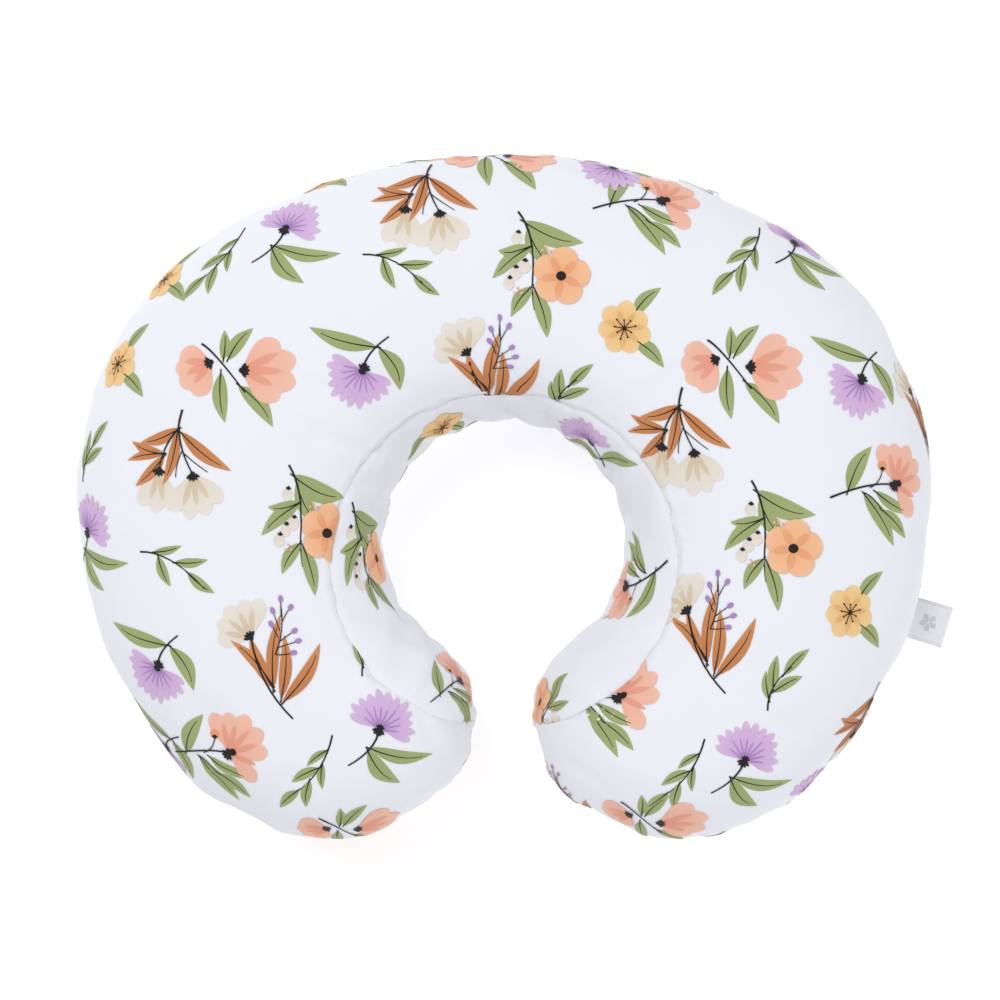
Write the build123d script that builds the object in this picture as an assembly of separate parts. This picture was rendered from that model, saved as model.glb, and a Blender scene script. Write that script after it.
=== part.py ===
from build123d import *
import math
import os

# Nursing pillow: a stuffed casing inside a printed, zipped slipcover, lying flat on its underside.
# Frame: +Z up, the crown of the C towards +Y, the gap between the two tips towards -Y, origin on
# the flat underside below the middle of the crown. Lengths in mm, angles in degrees. Bearings are
# clockwise from +Y. Shapes are drawn round the centre of the hole and moved when they are saved.

# Plan outline of the cover, right half, walked clockwise from the middle of the crown:
# (radius, sweep) of each tangent arc. The arc round the hole closes it.
OUTLINE = [(334, 30.9), (185, 48.8), (242, 58.4), (108, 84.0), (60, 103.0)]
OUTLINE_TOP = 240.6        # the crown's outer edge, from the start of the walk
HEIGHT = 150.0
MID_Z = HEIGHT / 2         # height of the outer seam
ROUND = 58.0               # radius of the pillow's upper and lower rims

COVER_T = 1.0              # slipcover fabric
TAPE_T = 0.8               # zipper tape
LABEL_T = 0.3              # ribbon of the inner labels
CASING_IN = 5.0            # casing's outside, inside the slipcover's outside
CASING_T = 0.8
FILL_IN = 6.1
THREAD = 0.4               # sewing thread

BAND_R = 100.0             # the seams of the inner band lie on this upright cylinder
BAND_Y = -14.0             # its axis, from the centre of the hole

ZIP_HALF_ANGLE = 25.0      # the zipper follows the crown's arc
SLOT_HALF = 4.8            # half width of the opening in the cover
TAPE_HALF = 14.0
TAPE_GAP = 0.9             # half the gap between the tapes
COIL_HALF_ANGLE = 24.25
COIL_IN, COIL_OUT = 0.5, 2.7
STOP_ANGLES = (24.3, 24.9)
TOPSTITCH = 7.0            # height of the stitch line above and below the zipper
TACK_HALF = 6.5            # half length of the dense stitching across its ends
SLIDER_AT = 22.8           # the slider at the closed end
SLIDER_HALF = 1.05         # half the slider's length along the arc
PLATE_HALF = 4.2
PLATE_T = 1.1
PULL_RISE = 3.45           # the pull's pin, outside the zipper's arc
PULL_LENGTH = 24.0
PULL_HALF = 3.2
PIN_R = 0.6

SIDE_LABEL_AT = 107.0      # bearing of the outline's normal at the side label
SIDE_LABEL_LENGTH = 26.0
SIDE_LABEL_WIDTH = 26.0
SIDE_LABEL_GAP = 0.6       # root of the label off the seam
INNER_LABEL_WIDTH = 26.0
INNER_LABEL_DROP = 40.0
STITCHES = 14              # closing stitches on the casing
STITCHES_FROM = 86.0
STITCH_PITCH = 1.5

BIG = 800.0


def walk():
    """Centre and radius of each outline arc, and the hole's radius, from the hole's centre."""
    x, y, heading, arcs = 0.0, OUTLINE_TOP, 0.0, []
    for radius, sweep in OUTLINE:
        cx = x + radius * math.sin(heading)
        cy = y - radius * math.cos(heading)
        arcs.append((cx, cy, radius))
        heading -= math.radians(sweep)
        x = cx - radius * math.sin(heading)
        y = cy + radius * math.cos(heading)
    hole_r = x / math.sin(heading)
    hole_y = y + hole_r * math.cos(heading)
    return [(cx, cy - hole_y, r) for cx, cy, r in arcs], hole_r


ARCS, HOLE_R = walk()
ZIP_Y, ZIP_R = ARCS[0][1:]
CROWN_HALF = (ZIP_Y + ZIP_R - HOLE_R) / 2
HOLE_Y = -(HOLE_R + CROWN_HALF)              # the hole's centre in the part's frame


def polar(radius, bearing, centre=(0.0, 0.0)):
    a = math.radians(bearing)
    return centre[0] + radius * math.sin(a), centre[1] + radius * math.cos(a)


# ---------------------------------------------------------------- the pillow's shape

def outline_face(inset):
    """The whole plan outline drawn in by an inset, as one flat face."""
    right, turned = [], 0.0
    for (cx, cy, radius), (_, sweep) in zip(ARCS, OUTLINE):
        spots = [polar(radius - inset, turned + sweep * k / 2, (cx, cy)) for k in range(3)]
        right.append(ThreePointArc(*spots))
        turned += sweep
    start, middle = right[-1] @ 1, (0.0, HOLE_R + inset)
    hole = ThreePointArc(start, middle, (-start.X, start.Y))
    left = [mirror(edge, Plane.YZ) for edge in right]
    return make_face(right + left + [hole])


def body(inset, made={}):
    """The pillow's whole shape drawn in by an inset: flat below and above, its edges well rounded."""
    if inset not in made:
        block = Pos(0, 0, inset) * extrude(outline_face(inset), amount=HEIGHT - 2 * inset)
        rims = block.edges().filter_by(Plane.XY)
        made[inset] = fillet(rims, ROUND - inset)
    return made[inset]


def above(z):
    return Pos(0, 0, z + BIG / 2) * Box(BIG, BIG, BIG)


def below(z):
    return Pos(0, 0, z - BIG / 2) * Box(BIG, BIG, BIG)


def layer(outside, inside, made={}):
    if (outside, inside) not in made:
        made[outside, inside] = body(outside) - body(inside)
    return made[outside, inside]


def band_cylinder(radius):
    return Pos(0, BAND_Y, MID_Z) * Cylinder(radius, 400)


def sector(r0, r1, z0, z1, a0, a1, centre=(0.0, ZIP_Y)):
    """Block between two radii, two heights and two bearings about an upright axis."""
    def at(r, a):
        return polar(r, a, centre) + (z0,)
    mid = (a0 + a1) / 2
    outline = [
        ThreePointArc(at(r1, a0), at(r1, mid), at(r1, a1)),
        Line(at(r1, a1), at(r0, a1)),
        ThreePointArc(at(r0, a1), at(r0, mid), at(r0, a0)),
        Line(at(r0, a0), at(r1, a0)),
    ]
    return extrude(make_face(outline), amount=z1 - z0, dir=(0, 0, 1))


def bead(r0, r1, z0, z1, a0, a1, corner=0.5):
    """Rounded bar bent along the zipper's arc."""
    profile = Plane.XZ * Pos((r0 + r1) / 2, (z0 + z1) / 2) * RectangleRounded(r1 - r0, z1 - z0, corner)
    return Pos(0, ZIP_Y, 0) * Rot(0, 0, 90 - a1) * revolve(profile, Axis.Z, a1 - a0)


# ---------------------------------------------------------------- slipcover

def zipper_slot():
    a = ZIP_HALF_ANGLE
    return sector(ZIP_R - 12, ZIP_R + 12, MID_Z - SLOT_HALF, MID_Z + SLOT_HALF, -a, a)


def cover_parts():
    fabric = layer(0.0, COVER_T)
    inside, outside = band_cylinder(BAND_R - THREAD / 2), band_cylinder(BAND_R + THREAD / 2)
    panels = fabric - outside - zipper_slot()
    rows = fabric & (outside - inside)
    return {
        "cover_top_panel": panels & above(MID_Z + THREAD / 2),
        "cover_bottom_panel": panels & below(MID_Z - THREAD / 2),
        "cover_inner_band": fabric & inside,
        "outer_seam_stitching": outer_seam() - outside - zipper_slot(),
        "band_seam_stitching_upper": rows & above(MID_Z),
        "band_seam_stitching_lower": rows & below(MID_Z),
    }


def outer_seam():
    """The row of thread between the two panels, along the outline."""
    ribbon = outline_face(0.0) - outline_face(COVER_T)
    return Pos(0, 0, MID_Z) * extrude(ribbon, amount=THREAD / 2, both=True)


def upright_strip(shell, bearing, half_width, z0, z1):
    """Part of a layer's outer wall, a strip of one width between two heights."""
    x, y = polar(240, bearing)
    return shell & (Pos(x, y, (z0 + z1) / 2) * Rot(0, 0, -bearing) * Box(2 * half_width, 120, z1 - z0))


def side_label():
    """Folded ribbon standing out of the outer seam, its two layers pinched at the root."""
    long, t, h, g = SIDE_LABEL_LENGTH, 0.35, 0.6, 0.25
    root = [(0, -t), (0, t), (2, h), (long - h, h)]
    outline = [
        Polyline(*root),
        ThreePointArc((long - h, h), (long, 0), (long - h, -h)),
        Polyline((long - h, -h), (2, -h), (0, -t)),
    ]
    loop = make_face(outline) - Pos((2.4 + long - t) / 2, 0) * SlotOverall(long - t - 2.4, 2 * g)
    ribbon = extrude(Plane.XZ * loop, amount=SIDE_LABEL_WIDTH / 2, both=True)
    cx, cy, radius = ARCS[2]
    x, y = polar(radius + SIDE_LABEL_GAP, SIDE_LABEL_AT, (cx, cy))
    return Pos(x, y, MID_Z) * Rot(0, 0, 90 - SIDE_LABEL_AT) * ribbon


# ---------------------------------------------------------------- zipper

def tape(side):
    z = sorted((MID_Z + side * TAPE_GAP, MID_Z + side * TAPE_HALF))
    a = ZIP_HALF_ANGLE + 1
    return layer(COVER_T, COVER_T + TAPE_T) & sector(ZIP_R - 15, ZIP_R + 2, *z, -a, a)


def coil(side):
    z = sorted((MID_Z + side * COIL_IN, MID_Z + side * COIL_OUT))
    return bead(ZIP_R - 0.95, ZIP_R + 1.0, *z, -COIL_HALF_ANGLE, COIL_HALF_ANGLE)


def top_stops():
    stops = []
    for side in (-1, 1):
        z = sorted((MID_Z + side * COIL_IN, MID_Z + side * (COIL_OUT + 0.3)))
        stops.append(bead(ZIP_R - 0.95, ZIP_R + 1.3, *z, *STOP_ANGLES))
    return Compound(children=stops)


def bottom_stop():
    z = COIL_OUT + 0.3
    return bead(ZIP_R - 0.95, ZIP_R + 1.3, MID_Z - z, MID_Z + z, -STOP_ANGLES[1], -STOP_ANGLES[0])


def topstitch(side):
    z = MID_Z + side * TOPSTITCH
    a = ZIP_HALF_ANGLE + 0.2
    return sector(ZIP_R, ZIP_R + THREAD, z - THREAD / 2, z + THREAD / 2, -a, a)


def bar_tacks():
    """Dense stitching across each end of the zipper's opening."""
    tacks = []
    for side in (-1, 1):
        a = sorted((side * (ZIP_HALF_ANGLE + 0.25), side * (ZIP_HALF_ANGLE + 0.5)))
        tacks.append(sector(ZIP_R, ZIP_R + THREAD, MID_Z - TACK_HALF, MID_Z + TACK_HALF, *a))
    return Compound(children=tacks)


def on_slider(shape):
    """Move a shape drawn with +X along the arc, +Y outwards and Z up onto the slider."""
    x, y = polar(ZIP_R, SLIDER_AT, (0.0, ZIP_Y))
    return Pos(x, y, MID_Z) * Rot(0, 0, -SLIDER_AT) * shape


def slider_plate(r0):
    a0, a1 = SLIDER_AT - SLIDER_HALF, SLIDER_AT + SLIDER_HALF
    plate = sector(r0, r0 + PLATE_T, MID_Z - PLATE_HALF, MID_Z + PLATE_HALF, a0, a1)
    corners = [e for e in plate.edges() if abs(e.length - PLATE_T) < 0.01]
    return fillet(corners, 1.6)


def slider():
    """Two plates joined by a thin divider at the leading end, side rails and the pull's bridge."""
    a0, a1 = SLIDER_AT - SLIDER_HALF, SLIDER_AT + SLIDER_HALF
    outer = ZIP_R + 1.4
    parts = slider_plate(outer) + slider_plate(ZIP_R - 3.5)
    for side in (-1, 1):
        z = sorted((MID_Z + side * (PLATE_HALF - 0.9), MID_Z + side * PLATE_HALF))
        parts += sector(ZIP_R - 0.65, outer + 0.2, *z, a0 + 0.27, a1 - 0.27)
    web = sector(ZIP_R - 2.6, outer + 0.2, MID_Z - THREAD / 2, MID_Z + THREAD / 2, a1 - 0.6, a1 - 0.02)
    bridge = make_face([
        Polyline((-4, 2.3), (-4, 4.3), (-2.9, 5.4), (2.9, 5.4), (4, 4.3), (4, 2.3), (-4, 2.3)),
    ]) - Pos(0, 3.45) * RectangleRounded(5.8, 1.9, 0.6)
    return parts + web + on_slider(extrude(bridge, amount=1.0, both=True))


def pull_tab():
    """Flat tab whose round pin lies under the slider's bridge."""
    long, half = PULL_LENGTH, PULL_HALF
    blade = Pos(-long / 2 + 0.8, 0) * RectangleRounded(long, 2 * half, 2.2)
    blade -= Pos(-2.75, 0) * RectangleRounded(5.5, 3.0, 0.5)
    blade -= Pos(-long + 5.2, 0) * Circle(1.3)
    tab = extrude(Plane.XZ * blade, amount=0.5, both=True)
    pin = Cylinder(PIN_R, 2 * half - 2.4)
    return on_slider(Pos(0, PULL_RISE, 0) * (tab + pin))


# ---------------------------------------------------------------- casing and filling

def casing_parts():
    fabric = layer(CASING_IN, CASING_IN + CASING_T)
    inside = band_cylinder(BAND_R)
    return {
        "casing_top_panel": (fabric - inside) & above(MID_Z),
        "casing_bottom_panel": (fabric - inside) & below(MID_Z),
        "casing_inner_band": fabric & inside,
    }


def closing_stitches():
    """The hand-sewn stitches that shut the casing's stuffing hole, on the left arm's seam."""
    cx, cy, radius = ARCS[2]
    r0 = radius - CASING_IN + 0.05
    z0, z1 = MID_Z - THREAD, MID_Z + THREAD
    stitches = []
    for k in range(STITCHES):
        a = -STITCHES_FROM - STITCH_PITCH * k
        stitches.append(sector(r0, r0 + LABEL_T, z0, z1, a - 0.7 * STITCH_PITCH, a, (-cx, cy)))
    return Compound(children=stitches)


def save(name, shape):
    export_step(Pos(0, HOLE_Y, 0) * shape, f"parts/{name}.step")


def main():
    os.makedirs("parts", exist_ok=True)
    nodes = cover_parts()
    nodes |= casing_parts()
    nodes["zipper_tape_upper"] = tape(1)
    nodes["zipper_tape_lower"] = tape(-1)
    nodes["zipper_coil_upper"] = coil(1)
    nodes["zipper_coil_lower"] = coil(-1)
    nodes["zipper_top_stops"] = top_stops()
    nodes["zipper_bottom_stop"] = bottom_stop()
    nodes["zipper_topstitch_upper"] = topstitch(1)
    nodes["zipper_topstitch_lower"] = topstitch(-1)
    nodes["zipper_bar_tacks"] = bar_tacks()
    nodes["zipper_slider"] = slider()
    nodes["zipper_pull_tab"] = pull_tab()
    nodes["side_label"] = side_label()
    drop = (MID_Z - INNER_LABEL_DROP, MID_Z - THREAD)
    width = INNER_LABEL_WIDTH / 2
    nodes["care_label"] = upright_strip(layer(COVER_T, COVER_T + LABEL_T), 70, width, *drop)
    nodes["contents_label"] = upright_strip(layer(CASING_IN - LABEL_T, CASING_IN), -110, width, *drop)
    nodes["casing_closing_stitches"] = closing_stitches()
    nodes["fibre_fill"] = body(FILL_IN)
    for name, shape in nodes.items():
        save(name, shape)


main()
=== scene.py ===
import math
import random

import bpy
import numpy as np
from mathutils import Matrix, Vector
from mathutils.bvhtree import BVHTree
from mathutils.geometry import delaunay_2d_cdt


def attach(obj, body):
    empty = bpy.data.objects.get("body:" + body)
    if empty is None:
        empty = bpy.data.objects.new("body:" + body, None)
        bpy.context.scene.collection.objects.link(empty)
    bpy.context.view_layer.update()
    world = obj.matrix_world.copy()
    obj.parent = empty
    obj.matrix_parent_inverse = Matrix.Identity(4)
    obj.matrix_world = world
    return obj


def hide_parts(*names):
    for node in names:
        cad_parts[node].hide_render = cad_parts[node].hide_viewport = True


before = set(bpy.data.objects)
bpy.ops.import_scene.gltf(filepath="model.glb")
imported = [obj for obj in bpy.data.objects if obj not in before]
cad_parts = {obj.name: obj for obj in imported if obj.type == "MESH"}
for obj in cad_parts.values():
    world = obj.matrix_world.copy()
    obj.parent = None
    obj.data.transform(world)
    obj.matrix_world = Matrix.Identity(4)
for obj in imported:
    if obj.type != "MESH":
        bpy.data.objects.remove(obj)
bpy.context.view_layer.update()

# Everything is worked out in mm round the centre of the pillow's hole, for the right half of
# the upper side, and mirrored to the other three quarters. Bearings are clockwise from +Y.
HOLE_Y = -158.0655            # the hole's centre in the row's frame
MID_Z = 75.0                  # height of the outer seam
# (radius, sweep) of each tangent arc of the outline, from the crown's middle to the tip. The
# hole's arc closes it, which settles TOP_Y, the crown's outer edge, and HOLE_R.
OUTLINE = [(334.0, 30.9), (185.0, 48.8), (242.0, 58.4), (108.0, 84.0), (60.0, 103.0)]
TOP_Y = 240.2474
HOLE_R = 75.8837
HOLE_ARC = len(OUTLINE)       # the hole's arc is numbered after the outline's
CROWN_R = OUTLINE[0][0]
CROWN_Y = TOP_Y - CROWN_R     # the centre of the crown's arc
ROUND = 58.0                  # radius of the upper and lower rims
ARC = ROUND * math.pi / 2
DEEP = ARC + 17.0             # from the plateau's edge over the rim and down to the outer seam
BAND_R, BAND_Y = 100.0, -14.0     # the band's seams lie on this upright cylinder
ZIP_HALF_ANGLE, SLOT_HALF = 25.0, 4.8
SLOT_S = math.radians(ZIP_HALF_ANGLE) * CROWN_R
SLOT_Y = 150.0                # the zipper's opening is behind this line
COARSE, DENSE = 6.5, 3.2      # triangle sizes of the simulated and the shown cloth
QUARTERS = [(1, 1), (-1, 1), (1, -1), (-1, -1)]   # mirrored in x, mirrored in z


def direction(bearing):
    """The unit vector in plan at a bearing in degrees."""
    a = np.radians(bearing)
    return np.stack([np.sin(a), np.cos(a)], -1)


def walk_outline():
    """(centre, radius, first bearing, last bearing, length walked before it) of each arc."""
    arcs, b, s = [], 0.0, 0.0
    centre = np.array([0.0, CROWN_Y])
    for k, (radius, sweep) in enumerate(OUTLINE):
        if k:
            centre = centre + (OUTLINE[k - 1][0] - radius) * direction(b)
        arcs.append((centre, radius, b, b + sweep, s))
        b, s = b + sweep, s + radius * math.radians(sweep)
    return arcs, b - 180.0, s


ARCS, NECK, TIP_END = walk_outline()
HOLE_EDGE = HOLE_R + ROUND
OUTLINE_END = TIP_END + HOLE_R * math.radians(NECK)


def profile(d):
    """How far out and how high the cloth is at d mm past the plateau's edge."""
    a = np.clip(d, 0, ARC) / ROUND
    return ROUND * np.sin(a), 2 * MID_Z - ROUND * (1 - np.cos(a)) - np.maximum(d - ARC, 0)


def locate(q):
    """For flat points: the arc's number (-1 on the plateau), bearing, d and s."""
    q = np.asarray(q, float)
    which = np.full(len(q), -1)
    bearing, d, s = np.zeros(len(q)), np.zeros(len(q)), np.zeros(len(q))
    for k, (centre, radius, b0, b1, s0) in enumerate(ARCS):
        v = q - centre
        r = np.hypot(*v.T)
        b = np.degrees(np.arctan2(v[:, 0], v[:, 1])) % 360
        if k == 0:
            b = np.where(b > 359.9, 0, b)
        flat = radius - ROUND
        hit = (which < 0) & (b > b0 - 0.001) & (b < b1 + 0.001)
        hit &= (r > flat) & (r < flat + DEEP + 0.01)
        which[hit], bearing[hit], d[hit] = k, b[hit], (r - flat)[hit]
        s[hit] = s0 + radius * np.radians(b[hit] - b0)
    r = np.hypot(*q.T)
    b = np.degrees(np.arctan2(q[:, 0], q[:, 1])) % 360
    b = np.where(b > 359.9, 0, b)
    hit = (which < 0) & (b < NECK + 0.001) & (r < HOLE_EDGE) & (r > HOLE_EDGE - DEEP - 0.01)
    which[hit], bearing[hit], d[hit] = HOLE_ARC, b[hit], (HOLE_EDGE - r)[hit]
    s[hit] = TIP_END + HOLE_R * np.radians(NECK - b[hit])
    return which, bearing, np.minimum(d, DEEP), s


def solid_point(which, bearing, d, q):
    """The CAD surface at these flat points."""
    out, z = profile(d)
    p = np.zeros((len(d), 3))
    p[:, :2] = q
    p[:, 2] = 2 * MID_Z
    for k, (centre, radius, *_) in enumerate(ARCS):
        on = which == k
        p[on, :2] = centre + (radius - ROUND + out[on])[:, None] * direction(bearing[on])
    on = which == HOLE_ARC
    p[on, :2] = (HOLE_EDGE - out[on])[:, None] * direction(bearing[on])
    p[which >= 0, 2] = z[which >= 0]
    return p


def from_s(s, d):
    """(arc, bearing, d, flat point) at length s along the outline, d past the plateau's edge."""
    s, d = np.asarray(s, float), np.asarray(d, float)
    which = np.full(len(s), HOLE_ARC)
    bearing = NECK - np.degrees((s - TIP_END) / HOLE_R)
    q = (HOLE_EDGE - d)[:, None] * direction(bearing)
    for k in reversed(range(len(ARCS))):
        centre, radius, b0, b1, s0 = ARCS[k]
        on = (s <= s0 + radius * math.radians(b1 - b0) + 1e-9) & (s >= s0 - 1e-9)
        which[on] = k
        bearing[on] = b0 + np.degrees((s[on] - s0) / radius)
        q[on] = centre + (radius - ROUND + d[on])[:, None] * direction(bearing[on])
    return which, bearing, d, q


def seam_line():
    """(s, d) along the band's seam, from the middle of the crown to the outer seam at the tip."""
    line = []
    for b in np.linspace(0, NECK, 400):
        c = BAND_Y * math.cos(math.radians(b))
        rho = c + math.sqrt(c * c + BAND_R**2 - BAND_Y**2)
        line.append((TIP_END + HOLE_R * math.radians(NECK - b),
                     ROUND * math.asin((HOLE_EDGE - rho) / ROUND)))
    centre, radius, b0, b1, s0 = ARCS[4]
    m = centre - np.array([0, BAND_Y])
    for b in np.arange(b1, b0, -0.02):
        along = float(m @ direction(b))
        rho = -along - math.sqrt(max(along**2 - m @ m + BAND_R**2, 0))
        if rho >= radius:
            break
        line.append((s0 + radius * math.radians(b - b0),
                     ROUND * math.asin((rho - radius + ROUND) / ROUND)))
    line += [(line[-1][0], d) for d in np.linspace(ARC, DEEP, 20)]
    return np.array(line)


SEAM = seam_line()
BAND_END = SEAM[-1, 0]
SEAM_SOLID = solid_point(*from_s(*SEAM.T))


def seam_points(step):
    """(s, d) every step mm along the band's seam."""
    legs = np.linalg.norm(np.diff(SEAM_SOLID, axis=0), axis=1)
    run = np.concatenate([[0], np.cumsum(legs)])
    at = np.linspace(0, run[-1], round(run[-1] / step) + 1)
    return np.stack([np.interp(at, run, SEAM[:, k]) for k in (0, 1)], -1)


def hexagons(x0, x1, y0, y1, h):
    """Points h apart in staggered rows."""
    rows = []
    for k, y in enumerate(np.arange(y0, y1, h * math.sqrt(3) / 2)):
        x = np.arange(x0 + (k % 2) * h / 2, x1, h)
        rows.append(np.stack([x, np.full(len(x), y)], -1))
    return np.concatenate(rows)


def inside(points, polygon):
    """Which points lie inside a closed polygon."""
    x, y = points.T
    hit = np.zeros(len(points), bool)
    a, b = polygon, np.roll(polygon, -1, 0)
    for (x0, y0), (x1, y1) in zip(a, b):
        if y0 != y1:
            cross = (y0 > y) != (y1 > y)
            hit ^= cross & (x < (x1 - x0) * (y - y0) / (y1 - y0) + x0)
    return hit


def clear_of(points, line, gap):
    """Which points are further than gap from every segment of a line."""
    keep = np.ones(len(points), bool)
    for a, b in zip(line[:-1], line[1:]):
        near = keep & (np.abs(points - (a + b) / 2).max(1) < gap + np.abs(b - a).max())
        if near.any():
            v = b - a
            t = np.clip(((points[near] - a) @ v) / max(v @ v, 1e-9), 0, 1)
            keep[near] = np.hypot(*(points[near] - a - t[:, None] * v).T) > gap
    return keep


def compact(faces, *arrays):
    """Drops the points that no face uses: the faces renumbered, and each array's kept rows."""
    used, index = np.unique(faces, return_inverse=True)
    return (index.reshape(faces.shape), *(a[used] for a in arrays))


class Sheet:
    """A panel's right upper quarter in its own flat plane: points, triangles and s, d."""

    def __init__(self, name, h):
        self.name = name
        at = seam_points(h)
        seam = np.stack([at[:, 0], DEEP - at[:, 1]], -1) if name == "band" else from_s(*at.T)[3]
        if name == "top":
            s = np.linspace(0, BAND_END, round(BAND_END / h) + 1)
            rim = from_s(s, np.full(len(s), DEEP))[3]
            y0, y1 = seam[0, 1], rim[0, 1]
            middle = np.linspace(y0, y1, round((y1 - y0) / h) + 1)[1:-1]
            loop = np.concatenate([seam, rim[::-1][1:], [(0, y) for y in middle[::-1]]])
        else:
            n = round((OUTLINE_END - BAND_END) / h)
            low = [(s, 0.0) for s in np.linspace(BAND_END, OUTLINE_END, n + 1)]
            n = max(2, round(seam[0, 1] / h))
            middle = [(OUTLINE_END, v) for v in np.linspace(0, seam[0, 1], n + 1)[1:-1]]
            loop = np.concatenate([seam, low[1:], middle])
        points = hexagons(*np.stack([loop.min(0), loop.max(0)], -1).ravel(), h)
        points = points[inside(points, loop)]
        points = points[clear_of(points, np.concatenate([loop, loop[:1]]), h * 0.55)]
        slot = np.zeros((0, 2))
        if name == "top" and h <= DENSE:
            s = np.linspace(0, SLOT_S, round(SLOT_S / h) + 1)
            d = np.linspace(DEEP - SLOT_HALF, DEEP, 4)[1:]
            slot = from_s(np.concatenate([s, np.full(len(d), SLOT_S)]),
                          np.concatenate([np.full(len(s), DEEP - SLOT_HALF), d]))[3]
            points = points[clear_of(points, slot, h * 0.5)]
        self.loop = loop
        self.points, self.faces = self.triangles(np.concatenate([loop, points]), slot)
        self.describe()

    def triangles(self, base, slot):
        """The points and triangles inside the loop, with edges along the zipper's slot."""
        verts = [Vector(p) for p in (*base, *slot)]
        edges = [(k, k + 1) for k in range(len(base), len(verts) - 1)]
        out = delaunay_2d_cdt(verts, edges, [list(range(len(self.loop)))], 0, 1e-4, True)
        points = np.array([tuple(v) for v in out[0]])
        for k, source in enumerate(out[3]):
            if source and source[0] < len(base):
                points[k] = base[source[0]]
        tris = np.array([t for t, source in zip(out[2], out[5]) if 0 in source and len(t) == 3])
        a, b, c = points[tris[:, 0]], points[tris[:, 1]], points[tris[:, 2]]
        area = (b[:, 0] - a[:, 0]) * (c[:, 1] - a[:, 1]) - (b[:, 1] - a[:, 1]) * (c[:, 0] - a[:, 0])
        tris[area < 0] = tris[area < 0][:, [0, 2, 1]]
        tris, points = compact(tris[np.abs(area) > 1e-6], points)
        return points, tris

    def place(self, points):
        """The arc's number, bearing, d, s and flat plan point of each point of the sheet."""
        if self.name == "top":
            return (*locate(points), points)
        which, bearing, d, q = from_s(points[:, 0], DEEP - points[:, 1])
        return which, bearing, d, points[:, 0], q

    def describe(self):
        """Where each point is on the CAD surface, and off, its distance to the band's seam."""
        self.which, self.bearing, self.d, self.s, self.q = self.place(self.points)
        self.solid = solid_point(self.which, self.bearing, self.d, self.q)
        self.off = np.concatenate([
            np.linalg.norm(part[:, None] - SEAM_SOLID[None, ::2], axis=2).min(1)
            for part in np.array_split(self.solid, max(1, len(self.solid) // 2000))])
        flat = [Vector((x, y, 0)) for x, y in self.points]
        self.tree = BVHTree.FromPolygons(flat, self.faces.tolist())

    def weights(self, points):
        """Each point's triangle and its weights in it."""
        hits = [self.tree.find_nearest(Vector((x, y, 0)))[2] for x, y in points]
        tri = self.faces[hits]
        a, b, c = (self.points[tri[:, k]] for k in range(3))
        p = np.asarray(points)
        cross = lambda u, v: u[:, 0] * v[:, 1] - u[:, 1] * v[:, 0]
        whole = cross(b - a, c - a)
        w = np.stack([cross(b - p, c - p), cross(c - p, a - p), cross(a - p, b - p)], -1)
        w = np.clip(w / whole[:, None], 0, None)
        return tri, w / w.sum(1, keepdims=True)


def mirror(points, quarter):
    """The right upper quarter's points, mirrored into another quarter."""
    p = np.array(points, float)
    p[:, 0] *= quarter[0]
    p[:, 2] = MID_Z + (p[:, 2] - MID_Z) * quarter[1]
    return p


def make_object(name, verts_mm, faces, smooth=True):
    """A mesh from mm round the hole's centre, put in the row's frame in metres."""
    v = np.array(verts_mm, float) + (0, HOLE_Y, 0)
    mesh = bpy.data.meshes.new(name)
    mesh.from_pydata((v / 1000).tolist(), [], [list(map(int, f)) for f in faces])
    mesh.update()
    if smooth:
        mesh.polygons.foreach_set("use_smooth", [True] * len(mesh.polygons))
    obj = bpy.data.objects.new(name, mesh)
    bpy.context.scene.collection.objects.link(obj)
    return obj


def weld(points, places=3):
    """Merges equal points: the kept points and each point's number among them."""
    keys = np.round(points, places) + 0.0
    _, first, index = np.unique(keys, axis=0, return_index=True, return_inverse=True)
    return points[first], index.ravel()


def weld_mesh(points, faces, places=2):
    """Welds a mesh and drops the triangles that collapse, and gives each point's number."""
    merged, index = weld(points, places)
    a, b, c = index[faces].T
    return merged, index[faces][(a != b) & (b != c) & (a != c)], index


def gather(parts, points_of, faces_of):
    """The parts' points and outward triangles in one mesh, and each part's slice of it."""
    points, faces, slices, offset = [], [], {}, 0
    for name, quarter in parts:
        p, f = points_of(name, quarter), faces_of(name)
        flip = (quarter[0] * quarter[1] < 0) != (name == "band")
        points.append(p)
        faces.append((f[:, ::-1] if flip else f) + offset)
        slices[name, quarter] = slice(offset, offset + len(p))
        offset += len(p)
    return np.concatenate(points), np.concatenate(faces), slices


def parts_of(name, level=0):
    """A panel's quarters: all four, or the upper or lower two."""
    return [(name, q) for q in QUARTERS if not level or q[1] == level]


def normals_of(points, faces):
    n = np.zeros_like(points)
    a, b, c = (points[faces[:, k]] for k in range(3))
    face = np.cross(b - a, c - a)
    for k in range(3):
        np.add.at(n, faces[:, k], face)
    return n / np.maximum(np.linalg.norm(n, axis=1, keepdims=True), 1e-12)


def smooth_step(x, low, high):
    t = np.clip((x - low) / (high - low), 0, 1)
    return t * t * (3 - 2 * t)


# --- the stuffed shape -------------------------------------------------------------------

START_IN = 3.0          # the cloth starts this far inside the solid, then swells
CAP_OUT = 13.0          # its movement levels off here
FRAMES = 20
FLOOR_GAP = 1.5         # the underside stays this far off the floor, so that its ink does too


def zip_weight(p):
    """1 where the zipper holds the cloth to the crown's arc, 0 away from it."""
    b = np.degrees(np.arctan2(np.abs(p[:, 0]), p[:, 1] - CROWN_Y))
    far = np.hypot(p[:, 0], p[:, 1] - CROWN_Y) > 250
    side = 1 - smooth_step(b, ZIP_HALF_ANGLE + 1.0, ZIP_HALF_ANGLE + 9.0)
    return side * (1 - smooth_step(np.abs(p[:, 2] - MID_Z), 9.0, 34.0)) * far


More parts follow.
